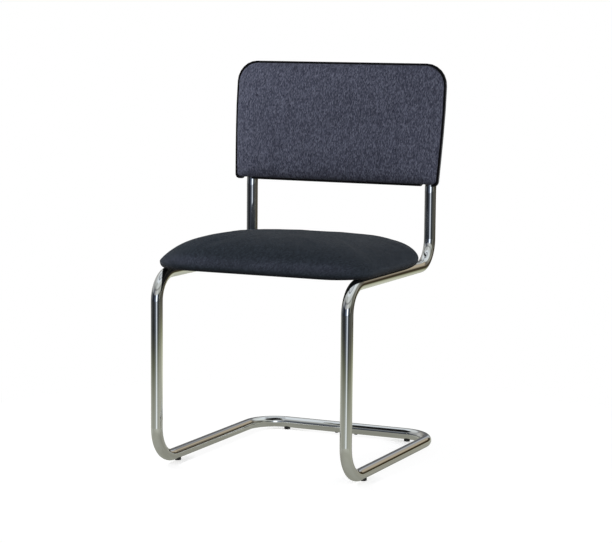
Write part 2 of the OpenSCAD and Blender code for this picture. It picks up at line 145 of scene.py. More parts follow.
# Cloth simulation of the pads: a remeshed body is blown up, and the pad
# takes over its folds. HELD has where the held edge ends and over what
# distance the cloth gets free.
VOXEL = 0.005
SWELL_FRAMES = 20
SWELL_PRESSURE = 4.0
SWELL_QUALITY = 5
SWELL_MASS = 0.3
SWELL_STIFFNESS = 20.0
SWELL_BENDING = 2.0
SEAT_HELD = (0.004, 0.010)
BACK_HELD = (0.002, 0.008)
FEWEST_FREE = 0.5
FOLD_NEAR = 0.008
FOLD_WIDE = 0.045
FOLD_CAP = 0.0009
SEAT_FOLD_GAIN = 0.11
BACK_FOLD_GAIN = 0.20

# Cloth: the two spans below are the heights between which the lower edge of a pad is darkened with
# painted shade. Low on the seat's front a painted light band lies in the same span, reaching back
# from the front by the depth after them.
YARN = 0.0013
FLECK_SHARE = 0.72
SEAT_LOW_BAND = (RAIL_TOP - FOLD, RAIL_TOP + 0.040)
BACK_LOW_BAND = (0.586, 0.616)
FRONT_LIGHT_DEPTH = 0.045


# Node helpers
def tree_of(owner):
    """The emptied node tree of a material or world."""
    owner.use_nodes = True
    owner.node_tree.nodes.clear()
    return owner.node_tree


def new_material(name):
    """A material and its emptied node tree."""
    material = bpy.data.materials.new(name)
    return material, tree_of(material)


def rgba(colour):
    """The four values of a colour given as three, or as one for a grey."""
    return (*colour, 1.0) if isinstance(colour, tuple) else (colour, colour, colour, 1.0)


def put(tree, value, socket):
    """Links an output to a socket, or sets the socket's value."""
    if isinstance(value, bpy.types.NodeSocket):
        tree.links.new(value, socket)
    elif socket.type == "RGBA":
        socket.default_value = rgba(value)
    else:
        socket.default_value = value


def put_all(tree, values, node):
    """Puts values into the first sockets of a node, and returns its outputs."""
    for value, socket in zip(values, node.inputs):
        put(tree, value, socket)
    return node.outputs


def add(tree, kind, **settings):
    """A node of that kind, with properties and input sockets set by name."""
    node = tree.nodes.new("ShaderNode" + kind)
    for name, value in settings.items():
        if hasattr(node, name):
            setattr(node, name, value)
        else:
            put(tree, value, node.inputs[name.replace("_", " ")])
    return node


def math_node(tree, operation, *values):
    return put_all(tree, values, add(tree, "Math", operation=operation))[0]


def vector_math(tree, operation, *vectors):
    """The outputs of a vector operation, of which Vector or Value counts."""
    return put_all(tree, vectors, add(tree, "VectorMath", operation=operation))


def stretched(tree, vector, scale):
    """The vector times a scale for each axis."""
    return vector_math(tree, "MULTIPLY", vector, scale)["Vector"]


def axes_of(tree, vector):
    """The outputs X, Y and Z of a vector."""
    return add(tree, "SeparateXYZ", Vector=vector).outputs


def ramp(tree, factor, stops):
    """A colour ramp through (place, colour or grey) stops."""
    node = tree.nodes.new("ShaderNodeValToRGB")
    elements = node.color_ramp.elements
    while len(elements) < len(stops):
        elements.new(0.5)
    for element, (position, colour) in zip(elements, stops):
        element.position = position
        element.color = rgba(colour)
    put(tree, factor, node.inputs[0])
    return node.outputs[0]


def mix_colour(tree, factor, first, second, blend="MIX"):
    node = add(tree, "Mix", data_type="RGBA", blend_type=blend)
    put(tree, factor, node.inputs[0])
    put(tree, first, node.inputs[6])
    put(tree, second, node.inputs[7])
    return node.outputs[2]


def tinted(tree, colour, tint):
    return mix_colour(tree, 1.0, colour, tint, "MULTIPLY")


def noise(tree, vector, scale, detail, roughness=0.55):
    node = add(tree, "TexNoise", Vector=vector, Scale=scale, Detail=detail, Roughness=roughness)
    return node.outputs[0]


def bump(tree, height, distance, strength, normal=None):
    node = add(tree, "Bump", Height=height, Distance=distance, Strength=strength)
    if normal is not None:
        put(tree, normal, node.inputs["Normal"])
    return node.outputs[0]


def diffuse(tree, colour):
    return add(tree, "BsdfDiffuse", Color=colour).outputs[0]


def glow(tree, colour, strength):
    return add(tree, "Emission", Color=colour, Strength=strength).outputs[0]


def both(tree, first, second):
    """The sum of two shaders."""
    return put_all(tree, (first, second), tree.nodes.new("ShaderNodeAddShader"))[0]


def either(tree, factor, first, second):
    """The first shader at factor 0 and the second at 1."""
    return put_all(tree, (factor, first, second), tree.nodes.new("ShaderNodeMixShader"))[0]


def surface(tree, shader):
    """Makes the shader the surface of the material."""
    add(tree, "OutputMaterial", Surface=shader)


def principled(tree, **sockets):
    """Makes a principled shader with the sockets given the surface."""
    surface(tree, add(tree, "BsdfPrincipled", **sockets).outputs[0])


def row_point(tree):
    """Object coordinates, which are metres in the row frame here."""
    return tree.nodes.new("ShaderNodeTexCoord").outputs["Object"]


def by_height(tree, span, stops):
    """Shades between two heights in the row frame."""
    low, high = span
    height = math_node(tree, "SUBTRACT", axes_of(tree, row_point(tree))["Z"], low)
    return ramp(tree, math_node(tree, "DIVIDE", height, high - low), stops)


# Materials
def chrome(name):
    """Chrome plate with a faint haze."""
    material, tree = new_material(name)
    spot = row_point(tree)
    haze = noise(tree, spot, scale=9.0, detail=4.0)
    grain = noise(tree, stretched(tree, spot, (1400.0, 1400.0, 260.0)), scale=1.0, detail=2.0)
    principled(tree,
               Base_Color=ramp(tree, haze, [(0.3, (0.83, 0.835, 0.82)),
                                            (0.7, (0.87, 0.875, 0.865))]),
               Metallic=1.0,
               Roughness=ramp(tree, haze, [(0.35, 0.018), (0.75, 0.040)]),
               Normal=bump(tree, grain, distance=0.00002, strength=0.25))
    return material


def painted(name, colour, rough, grain_size, grain_depth, lighter=1.6, specular=0.5):
    """Moulded plastic, paint, foam or plain cloth with a fine grain and faint wear."""
    material, tree = new_material(name)
    spot = row_point(tree)
    wear = noise(tree, spot, scale=14.0, detail=5.0)
    grain = noise(tree, spot, scale=1.0 / grain_size, detail=2.0)
    light = tuple(min(1.0, c * lighter) for c in colour)
    principled(tree,
               Base_Color=ramp(tree, wear, [(0.35, colour), (0.8, light)]),
               Roughness=ramp(tree, wear, [(0.3, rough - 0.05), (0.75, rough + 0.08)]),
               Specular_IOR_Level=specular,
               Normal=bump(tree, grain, distance=grain_depth, strength=0.6))
    return material


def shell_plastic(name):
    """Matt black plastic with a painted highlight, paler grey, on its edge behind the lip, and
    dull grey on its rear.
    """
    material, tree = new_material(name)
    spot = row_point(tree)
    lip = Vector(leaning(0.0, LIP_FRONT, 0.0)).dot(BACK_FACING)
    reach = vector_math(tree, "DOT_PRODUCT", spot, BACK_FACING)["Value"]
    behind = math_node(tree, "SUBTRACT", lip, reach)
    share = math_node(tree, "MULTIPLY", behind, 1.0 / SHELL_DEPTH)
    # edge is the band behind the lip that gets a painted highlight: its base colour is mixed
    # towards grey
    edge = ramp(tree, share, [(0.06, 0.0), (0.11, 1.0), (0.28, 1.0), (0.5, 0.0)])
    rear = ramp(tree, share, [(0.84, 0.0), (0.94, 1.0)])
    wear = noise(tree, spot, scale=40.0, detail=4.0)
    grain = noise(tree, spot, scale=1400.0, detail=2.0)
    # Painted highlight on that band, made patchy by the noise
    painted_edge_highlight = math_node(tree, "MULTIPLY", edge, ramp(tree, wear, [(0.3, 0.7), (0.7, 1.0)]))
    black = mix_colour(tree, rear, (0.004, 0.004, 0.005), (0.013, 0.013, 0.014))
    principled(tree,
               Base_Color=mix_colour(tree, painted_edge_highlight, black, (0.10, 0.10, 0.105)),
               Roughness=ramp(tree, wear, [(0.3, 0.42), (0.75, 0.55)]),
               Specular_IOR_Level=ramp(tree, rear, [(0.0, 0.12), (1.0, 0.40)]),
               Normal=bump(tree, grain, distance=0.00005, strength=0.6))
    return material


def bright_steel(name):
    """Zinc-plated steel with blotches."""
    material, tree = new_material(name)
    spot = row_point(tree)
    blotches = noise(tree, spot, scale=60.0, detail=4.0)
    grain = noise(tree, spot, scale=2500.0, detail=2.0)
    principled(tree,
               Base_Color=ramp(tree, blotches, [(0.3, (0.45, 0.46, 0.47)),
                                                (0.7, (0.66, 0.67, 0.68))]),
               Metallic=1.0,
               Roughness=ramp(tree, blotches, [(0.3, 0.28), (0.7, 0.42)]),
               Normal=bump(tree, grain, distance=0.00002, strength=0.5))
    return material


def plywood(name):
    """Birch plywood. The underside of the seat board is black."""
    material, tree = new_material(name)
    spot = row_point(tree)
    fibres = noise(tree, stretched(tree, spot, (18.0, 420.0, 420.0)), scale=1.0, detail=4.0)
    plies = add(tree, "TexWave", bands_direction="Z", Vector=spot, Scale=110.0, Distortion=0.4)
    pale = ramp(tree, fibres, [(0.3, (0.52, 0.36, 0.20)), (0.7, (0.74, 0.57, 0.37))])
    colour = mix_colour(tree, 0.18, pale, plies.outputs[0], "MULTIPLY")
    height = axes_of(tree, spot)["Z"]
    under = math_node(tree, "LESS_THAN", height, RAIL_TOP + UNDERSIDE_BLACK_DEPTH)
    principled(tree,
               Base_Color=mix_colour(tree, under, colour, 0.006),
               Roughness=0.65,
               Normal=bump(tree, fibres, distance=0.0003, strength=0.5))
    return material


def weave(tree, spot):
    """Plain weave: the shades of its yarns, and the height of its crossings."""
    pitch = 1.0 / YARN
    grid = stretched(tree, spot, (pitch, pitch, 0.0))
    over = add(tree, "TexChecker", Vector=grid, Scale=1.0, Color1=1.0, Color2=0.0)
    warp = noise(tree, stretched(tree, spot, (pitch, pitch / 3, 0.0)), scale=1.0, detail=2.0)
    weft = noise(tree, stretched(tree, spot, (pitch / 3, pitch, 0.0)), scale=1.0, detail=2.0)
    axes = axes_of(tree, grid)
    ribs = []
    for axis in ("X", "Y"):
        turn = math_node(tree, "MULTIPLY", axes[axis], math.pi)
        ribs.append(math_node(tree, "ABSOLUTE", math_node(tree, "SINE", turn)))
    yarns = mix_colour(tree, over.outputs["Fac"], warp, weft)
    return yarns, math_node(tree, "MULTIPLY", *ribs)


def front_light_band(tree, colour, normal, stops):
    """Colour and normal of the seat's cloth, creased low on its front and painted paler there as a
    band of light.
    """
    spot = row_point(tree)
    depth = math_node(tree, "SUBTRACT", SEAT_LOW.y + FRONT_LIGHT_DEPTH, axes_of(tree, spot)["Y"])
    front = ramp(tree, math_node(tree, "DIVIDE", depth, FRONT_LIGHT_DEPTH), [(0.0, 0.0), (1.0, 1.0)])
    patches = ramp(tree, noise(tree, spot, scale=16.0, detail=3.0), [(0.35, 0.45), (0.6, 1.0)])
    # Painted light: low on the seat's front the cloth is made paler in a patchy band
    pale = tinted(tree, colour, by_height(tree, SEAT_LOW_BAND, stops))
    colour = mix_colour(tree, math_node(tree, "MULTIPLY", front, patches), colour, pale)
    creases = noise(tree, stretched(tree, spot, (9.0, 9.0, 150.0)), scale=1.0, detail=2.0)
    low = by_height(tree, SEAT_LOW_BAND, [(0.05, 1.0), (0.5, 0.0)])
    height = math_node(tree, "MULTIPLY", creases, low)
    return colour, bump(tree, height, distance=0.004, strength=0.7, normal=normal)


def cloth(name, shades, sheen, fleck, contrast, streaks, shaded_span, painted_shade_stops, front_light_stops=None):
    """Plain weave over the pad's own cloth coordinates, with mixed yarns.

    fleck gives the width and length of the flecks in which the yarns differ. The span of heights
    and the stops after it give painted shade that darkens the pad's lower edge, and the last
    argument the stops of a painted light band low on the seat's front.
    """
    material, tree = new_material(name)
    spot = add(tree, "Attribute", attribute_name="cloth").outputs["Vector"]
    yarns, crossings = weave(tree, spot)
    width, length = fleck
    cells = stretched(tree, spot, (1 / width, 1 / length, 0.0))
    flecks = add(tree, "TexVoronoi", voronoi_dimensions="2D", Vector=cells, Scale=1.0)
    shade = math_node(tree, "MULTIPLY_ADD", flecks.outputs["Color"], FLECK_SHARE,
                      math_node(tree, "MULTIPLY", yarns, 1.0 - FLECK_SHARE))
    places = (0.5 - contrast, 0.5, 0.5 + contrast)
    colour = ramp(tree, shade, list(zip(places, shades)))
    slubs = noise(tree, stretched(tree, spot, (110.0, 7.0, 0.0)), 1.0, 3.0, roughness=0.6)
    slubs = ramp(tree, slubs, [(0.3, 1.0 - streaks), (0.5, 1.0), (0.7, 1.0 + streaks)])
    faded = ramp(tree, noise(tree, spot, scale=9.0, detail=3.0), [(0.35, 0.92), (0.7, 1.0)])
    colour = tinted(tree, colour, tinted(tree, faded, slubs))
    # Painted shade: the cloth gets darker towards the pad's lower edge
    colour = tinted(tree, colour, by_height(tree, shaded_span, painted_shade_stops))
    height = math_node(tree, "MULTIPLY_ADD", shade, 0.8, crossings)
    normal = bump(tree, height, distance=0.00035, strength=0.8)
    if front_light_stops:
        colour, normal = front_light_band(tree, colour, normal, front_light_stops)
    principled(tree, Base_Color=colour, Roughness=0.92, Sheen_Weight=sheen,
               Sheen_Roughness=0.30, Specular_IOR_Level=0.15, Normal=normal)
    return material


# Pads
def rounded_plan(half_width, low, high, radii):
    """Ring of points: a rectangle with one corner radius at each end."""
    def corner(x, y, radius, start):
        turns = [math.radians(start + 90.0 * i / CORNER_STEPS) for i in range(CORNER_STEPS + 1)]
        return [(x + radius * math.cos(a), y + radius * math.sin(a)) for a in turns]

    near, far = radii
    corners = [
        corner(half_width - near, low + near, near, -90),
        corner(half_width - far, high - far, far, 0),
        corner(-half_width + far, high - far, far, 90),
        corner(-half_width + near, low + near, near, 180),
    ]
    ring = []
    for i, arc in enumerate(corners):
        ring += arc
        start, end = arc[-1], corners[(i + 1) % 4][0]
        for k in range(1, SIDE_STEPS):
            share = k / SIDE_STEPS
            ring.append(tuple(a + (b - a) * share for a, b in zip(start, end)))
    return ring


def drawn(ring, middle, half, inset, scale):
    """The plan drawn in by an inset and shrunk. It turns into an ellipse as it shrinks."""
    made = []
    for point in ring:
        offset = [p - m for p, m in zip(point, middle)]
        angle = math.atan2(offset[1] / half[1], offset[0] / half[0])
        oval = (half[0] * math.cos(angle), half[1] * math.sin(angle))
        made.append(tuple(
            m + (o * scale + e * (1.0 - scale)) * scale * (h - inset) / h
            for m, o, e, h in zip(middle, offset, oval, half)))
    return made


def crown(scale, flatness, fullness):
    """Height of a crown, from 1 in the middle to 0 at the rim."""
    return max(0.0, 1.0 - scale ** flatness) ** (1.0 / fullness)


def crown_scales(count):
    """Scales of a crown's rings from its rim up. The last ring stays short of the top."""
    return [math.cos(math.radians(LAST_RING * i / count)) for i in range(count)]


def lofted(name, rings, first, last):
    """Closed mesh object through rings of equal length, from point to point."""
    mesh = bpy.data.meshes.new(name)
    made = bmesh.new()
    rows = [[made.verts.new(p) for p in ring] for ring in rings]
    ends = [made.verts.new(first), made.verts.new(last)]
    count = len(rings[0])
    for k in range(count):
        after = (k + 1) % count
        made.faces.new((ends[0], rows[0][after], rows[0][k]))
        made.faces.new((rows[-1][k], rows[-1][after], ends[1]))
        for lower, upper in zip(rows, rows[1:]):
            made.faces.new((lower[k], lower[after], upper[after], upper[k]))
    bmesh.ops.recalc_face_normals(made, faces=made.faces)
    made.to_mesh(mesh)
    made.free()
    piece = bpy.data.objects.new(name, mesh)
    bpy.context.scene.collection.objects.link(piece)
    return piece


def unrolled(piece, rings, last, upright):
    """Stores where each point lies on the flat cloth, measured out from the crown's top.

    upright is the number of the axis that the cloth runs up along.
    """
    top = Vector(last)
    so_far = [0.0] * len(rings[0])
    before = [top] * len(rings[0])
    rows = []
    for ring in reversed(rings):
        row = []
        for k, point in enumerate(map(Vector, ring)):
            so_far[k] += (point - before[k]).length
            before[k] = point
            offset = point - top
            way = Vector((offset.x, offset[upright])).normalized() * so_far[k]
            row.append((way.x, way.y, 0.0))
        rows.append(row)
    rows.reverse()
    flat = [spot for row in rows for spot in row] + [rows[0][0], (0.0, 0.0, 0.0)]
    data = piece.data.attributes.new("cloth", "FLOAT_VECTOR", "POINT").data
    for item, spot in zip(data, flat):
        item.vector = spot


def applied(piece):
    """Replaces the piece's mesh by what its modifiers make of it."""
    graph = bpy.context.evaluated_depsgraph_get()
    mesh = bpy.data.meshes.new_from_object(piece.evaluated_get(graph))
    piece.modifiers.clear()
    piece.data = mesh


def remeshed(piece):
    voxels = piece.modifiers.new("voxels", "REMESH")
    voxels.mode = "VOXEL"
    voxels.voxel_size = VOXEL
    applied(piece)
    evened = piece.modifiers.new("evened", "SMOOTH")
    evened.factor = 0.5
    evened.iterations = 4
    applied(piece)


def blown(body, held):
    """Blows a body up as cloth and removes it: its points and how far each has moved out."""
    remeshed(body)
    group = body.vertex_groups.new(name="held")
    for vertex in body.data.vertices:
        weight = held(vertex.co)
        if weight > 0.0:
            group.add([vertex.index], min(1.0, weight), "REPLACE")
    settings = body.modifiers.new("cloth", "CLOTH").settings
    settings.quality = SWELL_QUALITY
    settings.mass = SWELL_MASS
    settings.tension_stiffness = SWELL_STIFFNESS
    settings.compression_stiffness = SWELL_STIFFNESS
    settings.bending_stiffness = SWELL_BENDING
    settings.vertex_group_mass = "held"
    settings.use_pressure = True
    settings.uniform_pressure_force = SWELL_PRESSURE
    settings.effector_weights.gravity = 0.0
    scene = bpy.context.scene
    for step in range(1, SWELL_FRAMES + 1):
        scene.frame_set(step)
    graph = bpy.context.evaluated_depsgraph_get()
    points = [vertex.co.copy() for vertex in body.data.vertices]
    moved = [vertex.co for vertex in body.evaluated_get(graph).data.vertices]
    outward = [vertex.normal.copy() for vertex in body.data.vertices]
    moves = [(m - p).dot(n) for m, p, n in zip(moved, points, outward)]
    bpy.data.objects.remove(body)
    scene.frame_set(1)
    return points, moves


def folded(pad, body, held, gain):
    """Gives the pad the folds of its blown-up body, but not the swelling under them.

    held is 1 or more where the cloth can't move. Below that it keeps falling
    with the distance from the held edge, and the folds grow with it.
    """
    points, moves = blown(body, held)
    nearby = KDTree(len(points))
    for i, point in enumerate(points):
        nearby.insert(point, i)
    nearby.balance()

    def mean(centre, reach):
        """Mean move of the points in reach, by how free they are."""
        near = [(1.0 - held(point), i) for point, i, _ in nearby.find_range(centre, reach)]
        near = [(free, i) for free, i in near if free > 0.0]
        total = sum(free for free, _ in near)
        if total < FEWEST_FREE:
            return 0.0
        return sum(moves[i] * free for free, i in near) / total

    for vertex in pad.data.vertices:
        free = 1.0 - min(1.0, held(vertex.co))
        if free > 0.0:
            fold = gain * (mean(vertex.co, FOLD_NEAR) - mean(vertex.co, FOLD_WIDE))
            vertex.co += vertex.normal * max(-FOLD_CAP, min(FOLD_CAP, fold)) * free


def refined(piece):
    rounds = piece.modifiers.new("rounds", "SUBSURF")
    rounds.levels = 1
    rounds.render_levels = 1
    applied(piece)
    for face in piece.data.polygons:
        face.use_smooth = True


def seat_ring(inset, height, scale=1.0, top=None):
    """Ring of the seat pad drawn in by an inset, at a height above the rails."""
    half = (SEAT_HIGH.x, (SEAT_HIGH.y - SEAT_LOW.y) / 2)
    middle = (0.0, (SEAT_HIGH.y + SEAT_LOW.y) / 2)
    outline = rounded_plan(half[0], SEAT_LOW.y, SEAT_HIGH.y, SEAT_RADII)
    ring = []
    for x, y in drawn(outline, middle, half, inset, scale):
        z = height
        if top is not None:
            share = (y - SEAT_LOW.y) / (2 * half[1])
            fullness = SEAT_FULLNESS[0] + (SEAT_FULLNESS[1] - SEAT_FULLNESS[0]) * share
            z += top * crown(scale, SEAT_FLATNESS, fullness)
            z -= SEAT_FALL * (1.0 - scale ** SEAT_FLATNESS) * (share - 0.5)
        ring.append((x, y, RAIL_TOP + z))
    return ring


def make_seat_pad():
    """Crowned cushion round the edge of the seat board."""
    middle = (SEAT_HIGH.y + SEAT_LOW.y) / 2
    apex = (0, middle, RAIL_TOP + SEAT_RIM + SEAT_CROWN)
    skin = [seat_ring(inset, height) for inset, height in SEAT_EDGE]
    skin += [seat_ring(0.0, SEAT_RIM, scale, SEAT_CROWN) for scale in crown_scales(SEAT_RINGS)]
    around_board = [seat_ring(BOARD_RING, SEAT_BOARD), seat_ring(SEAT_BOARD_INSET, SEAT_BOARD),
                    seat_ring(SEAT_BOARD_INSET, 0.0), seat_ring(SEAT_FLANGE, 0.0)]
    pad = lofted("seat_pad", around_board + skin, (0, middle, RAIL_TOP + SEAT_BOARD), apex)
    unrolled(pad, around_board + skin, apex, 1)
    body = lofted("seat_body", skin, (0, middle, RAIL_TOP - FOLD), apex)
    ends, fade = SEAT_HELD
    folded(pad, body, lambda p: 1.0 - (p.z - RAIL_TOP - ends) / fade, SEAT_FOLD_GAIN)
    refined(pad)
    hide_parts("seat_cover", "seat_foam")
    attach(pad, "root")
    return pad


def leaning(x, y, z):
    """A point of the leaning frame of the back, in the row frame."""
    c, s = math.cos(BACK_LEAN), math.sin(BACK_LEAN)
    return (x, POST_FOOT.y + y * c + z * s, POST_FOOT.z - y * s + z * c)


def back_ring(inset, y, scale=1.0):
    """Ring of the back pad drawn in by an inset, at a depth in the leaning frame."""
    half = (BACK_HALF, BACK_HEIGHT / 2)
    middle = (0.0, BACK_LOW + half[1])
    outline = []
    for x, z in rounded_plan(BACK_HALF, BACK_LOW, BACK_LOW + BACK_HEIGHT, BACK_RADII):
        low = max(0.0, 1.0 - (z - BACK_LOW) / (BACK_WIDEST * BACK_HEIGHT))
        outline.append((x * (1.0 - BACK_DRAWN_IN * low ** BACK_TAPER / BACK_HALF), z))
    return [leaning(x, y, z) for x, z in drawn(outline, middle, half, inset, scale)]


def make_back_pad():
    """Crowned cushion round the back board, which fills the shell up to its lip."""
    middle = BACK_LOW + BACK_HEIGHT / 2
    board_rear, board_front = BACK_BOARD
    apex = leaning(0, board_front - BACK_CROWN, middle)
    tucked = BACK_INSET + BACK_TUCK
    inset, depth = BACK_EDGE
    skin = [back_ring(BACK_FLANGE, BACK_REAR), back_ring(tucked, BACK_REAR),
            back_ring(BACK_INSET + inset, board_front + depth)]
    for scale in crown_scales(BACK_RINGS):
        rise = BACK_CROWN * crown(scale, BACK_FLATNESS, BACK_FULLNESS)
        skin.append(back_ring(BACK_INSET, board_front - rise, scale))
    around_board = [back_ring(BOARD_RING, board_front), back_ring(tucked + FOLD, board_front),
                    back_ring(tucked + FOLD, board_rear), back_ring(BACK_FLANGE, board_rear)]
    pad = lofted("back_pad", around_board + skin, leaning(0, board_front, middle), apex)
    unrolled(pad, around_board + skin, apex, 2)
    body = lofted("back_body", skin, leaning(0, BACK_REAR, middle), apex)
    rim = Vector(leaning(0, board_front, 0)).dot(BACK_FACING)
    ends, fade = BACK_HELD
    folded(pad, body, lambda p: 1.0 - (p.dot(BACK_FACING) - rim - ends) / fade, BACK_FOLD_GAIN)
    refined(pad)
    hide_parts("back_cover", "back_foam")
    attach(pad, "root")
    return pad


# Stage
def compass(tree, x, y):
    """Direction in the plan from 0 to 1: 0.5 is the front, 0.75 the right and 0 the rear."""
    turn = math_node(tree, "ARCTAN2", x, math_node(tree, "MULTIPLY", y, -1.0))
    return math_node(tree, "MULTIPLY_ADD", turn, 0.5 / math.pi, 0.5)


def by_compass(tree, turn, places):
    """A colour ramp over compass degrees: 0 is the front and 90 the right."""
    return ramp(tree, turn, [(degrees / 360.0 + 0.5, colour) for degrees, colour in places])


def room_walls(tree, turn):
    """What the metal sees level with it: a dark room with a window on the front right."""
    return by_compass(tree, turn, (
        (-180, (0.05, 0.035, 0.022)),
        (-150, (0.05, 0.038, 0.026)),
        (-115, (0.22, 0.22, 0.20)),
        (-88, (0.13, 0.14, 0.15)),
        (-62, (0.06, 0.065, 0.080)),
        (-42, (0.010, 0.012, 0.016)),
        (-18, (0.025, 0.030, 0.045)),
        (2, (0.14, 0.17, 0.24)),
        (14, (0.32, 0.37, 0.46)),
        (19, (1.50, 1.62, 1.82)),
        (31, (1.50, 1.62, 1.82)),
        (36, (0.32, 0.36, 0.44)),
        (47, (0.05, 0.06, 0.075)),
        (62, (0.020, 0.024, 0.026)),
        (80, (0.22, 0.22, 0.19)),
        (92, (0.065, 0.060, 0.045)),
        (110, (0.06, 0.055, 0.040)),
        (135, (0.16, 0.16, 0.14)),
        (155, (0.10, 0.085, 0.065)),
        (180, (0.05, 0.035, 0.022))))


def upper_room(tree, turn):
    """What the metal sees above the walls: lit panels in front and warm light behind."""
    return by_compass(tree, turn, (
        (-180, (0.36, 0.35, 0.33)),
        (-174, (0.50, 0.53, 0.58)),
        (-166, (0.12, 0.125, 0.14)),
        (-155, (0.15, 0.15, 0.155)),
        (-140, (0.33, 0.32, 0.30)),
        (-120, (0.50, 0.50, 0.49)),
        (-82, (0.42, 0.43, 0.43)),
        (-58, (0.34, 0.35, 0.37)),
        (-46, (0.08, 0.09, 0.11)),
        (-26, (0.12, 0.135, 0.16)),
        (-14, (0.34, 0.35, 0.37)),
        (5, (0.46, 0.47, 0.47)),
        (20, (0.64, 0.66, 0.66)),
        (44, (0.56, 0.58, 0.56)),
        (60, (0.36, 0.38, 0.35)),
        (78, (0.50, 0.52, 0.48)),
        (92, (0.16, 0.16, 0.14)),
        (112, (0.16, 0.16, 0.13)),
        (135, (0.30, 0.29, 0.25)),
        (150, (0.14, 0.13, 0.11)),
        (157, (0.18, 0.155, 0.12)),
        (161, (0.48, 0.41, 0.30)),
        (170, (0.44, 0.38, 0.30)),
        (180, (0.36, 0.35, 0.33))))


def ceiling_shade(tree, turn):
    """How bright the ceiling is towards each side."""
    return by_compass(tree, turn, (
        (-180, (0.85, 0.85, 0.85)),
        (-120, (1.0, 1.0, 1.0)),
        (-60, (0.74, 0.74, 0.73)),
        (-30, (0.60, 0.60, 0.58)),
        (-12, (0.62, 0.62, 0.60)),
        (12, (0.95, 0.95, 0.93)),
        (60, (0.85, 0.85, 0.83)),
        (90, (1.0, 1.0, 0.97)),
        (130, (1.1, 1.12, 1.1)),
        (180, (0.85, 0.85, 0.85))))


def glide_distance(tree, axes):
    """Distance on the floor from the middle of the nearest glide."""
    across = math_node(tree, "ABSOLUTE", axes["X"])
    spans = []
    for name in ("front_glides", "rear_glides"):
        low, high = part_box(name)
        radius = (high.y - low.y) / 2
        offset = add(tree, "CombineXYZ",
                     X=math_node(tree, "SUBTRACT", across, high.x - radius),
                     Y=math_node(tree, "SUBTRACT", axes["Y"], low.y + radius))
        spans.append(vector_math(tree, "LENGTH", offset.outputs[0])["Value"])
    return math_node(tree, "MINIMUM", *spans)


def floor_in_view(tree, distance, axes):
    """The floor for the camera: white but for the shadow near the chair."""
    shaded = both(tree, glow(tree, 1.0, FLOOR_GLOW), diffuse(tree, FLOOR_PAINT))
    away = ramp(tree, distance, [(SHADOW_REACH[0], 0.0), (SHADOW_REACH[1], 1.0)])
    apart = ramp(tree, glide_distance(tree, axes),
                 [(CONTACT_REACH[0], 0.0), (CONTACT_REACH[1], 1.0 - FAINT_SHADOW)])
    return either(tree, math_node(tree, "MAXIMUM", away, apart), shaded, glow(tree, 1.0, 1.0))


def floor_in_metal(tree, distance, axes):
    """The floor for the metal: a lit pool, brighter behind, and a sheen where it is seen flat."""
    pool = ramp(tree, math_node(tree, "DIVIDE", distance, POOL_REACH), [
        (0.0, (0.25, 0.252, 0.215)),
        (0.06, (0.26, 0.262, 0.225)),
        (0.105, (0.34, 0.345, 0.295)),
        (0.20, (0.31, 0.318, 0.265)),
        (0.30, (0.23, 0.235, 0.18)),
        (0.40, (0.115, 0.12, 0.075)),
        (0.47, (0.060, 0.060, 0.040)),
        (0.56, (0.022, 0.022, 0.018)),
        (1.0, (0.010, 0.010, 0.010)),
    ])
    behind = ramp(tree, math_node(tree, "DIVIDE", axes["Y"], POOL_DEPTH),
                  [(0.15, (0.50, 0.50, 0.50)), (0.45, (0.95, 0.95, 0.93))])
    grazing = add(tree, "LayerWeight", Blend=0.5).outputs["Facing"]
    mirrored = ramp(tree, grazing, [(0.60, 0.05), (0.76, 0.36), (0.86, 0.46), (1.0, 0.50)])
    gloss = add(tree, "BsdfGlossy", Color=mirrored, Roughness=FLOOR_ROUGHNESS)
    return both(tree, glow(tree, tinted(tree, pool, behind), POOL_GLOW), gloss.outputs[0])


def make_floor():
    """Floor with one look for the camera, one for the metal and one for the light it throws up."""
    bpy.ops.mesh.primitive_plane_add(size=2 * FLOOR_HALF)
    floor = bpy.context.object
    floor.name = "floor"
    material, tree = new_material("floor")
    rays = tree.nodes.new("ShaderNodeLightPath").outputs
    spot = row_point(tree)
    axes = axes_of(tree, spot)
    distance = vector_math(tree, "LENGTH", spot)["Value"]
    lit = both(tree, diffuse(tree, (0.35, 0.35, 0.34)),
               glow(tree, (0.97, 0.98, 1.0), FLOOR_BOUNCE))
    shader = either(tree, rays["Is Camera Ray"], lit, floor_in_view(tree, distance, axes))
    shader = either(tree, rays["Is Glossy Ray"], shader, floor_in_metal(tree, distance, axes))
    surface(tree, shader)
    floor.data.materials.append(material)


def make_screen():
    """A low dark screen behind the chair, which only the metal sees."""
    mesh = bpy.data.meshes.new("screen")
    near, far = SCREEN_X
    corners = [(near, SCREEN_Y, 0.0), (far, SCREEN_Y, 0.0),
               (far, SCREEN_Y, SCREEN_HEIGHT), (near, SCREEN_Y, SCREEN_HEIGHT)]
    mesh.from_pydata(corners, [], [(0, 1, 2, 3)])
    screen = bpy.data.objects.new("screen", mesh)
    bpy.context.scene.collection.objects.link(screen)
    material, tree = new_material("screen")
    patches = noise(tree, row_point(tree), scale=3.0, detail=2.0)
    colour = ramp(tree, patches, [(0.3, (0.038, 0.029, 0.015)), (0.7, (0.060, 0.047, 0.028))])
    surface(tree, glow(tree, colour, 1.0))
    mesh.materials.append(material)
    screen.visible_camera = False
    screen.visible_diffuse = False
    screen.visible_shadow = False


